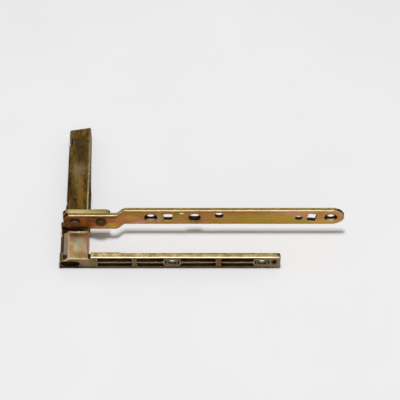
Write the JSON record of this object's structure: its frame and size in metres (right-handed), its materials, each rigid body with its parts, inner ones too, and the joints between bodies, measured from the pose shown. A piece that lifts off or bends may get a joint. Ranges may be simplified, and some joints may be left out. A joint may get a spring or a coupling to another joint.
{
  "type": "window corner hinge",
  "caption": "Lower corner hinge of a window: ribbed cast frame rail with a pin bearing, and a riveted sash strip with a folded post.",
  "frame": {"origin": "middle of the footprint, on the plane that the hinge lies on", "axes": "+X along the rail from the hinge corner, +Y along the turning axis from the frame side to the post (up in a mounted window), +Z away from the resting plane (into the room in a mounted window)"},
  "size_m": [0.1964, 0.108, 0.0307],
  "materials": {
    "zinc_casting": "satin",
    "yellow_zinc_steel": "satin",
    "steel": "satin",
    "bearing_brass": "satin"
  },
  "bodies": {
    "frame_side": {"frame_rail": "zinc_casting", "bearing_saddle": "yellow_zinc_steel", "pivot_pin": "steel", "pin_clip": "steel"},
    "tilting_bush": {"barrel_bush": "bearing_brass", "thrust_washer": "steel"},
    "sash_side": {"hinge_plate": "yellow_zinc_steel", "sash_arm": "yellow_zinc_steel", "inner_rivet": "steel", "outer_rivet": "steel", "sash_post": "yellow_zinc_steel"}
  },
  "joints": [
    {"name": "sash_turn", "type": "hinge", "parent": "frame_side", "child": "tilting_bush", "pos_m": [-0.0873, -0.0266, 0.006], "axis": [0, -1, 0], "range_deg": [0, 100]},
    {"name": "sash_tilt", "type": "hinge", "parent": "tilting_bush", "child": "sash_side", "pos_m": [-0.0873, -0.0266, 0.006], "axis": [1, 0, 0], "range_deg": [0, 6]}
  ]
}
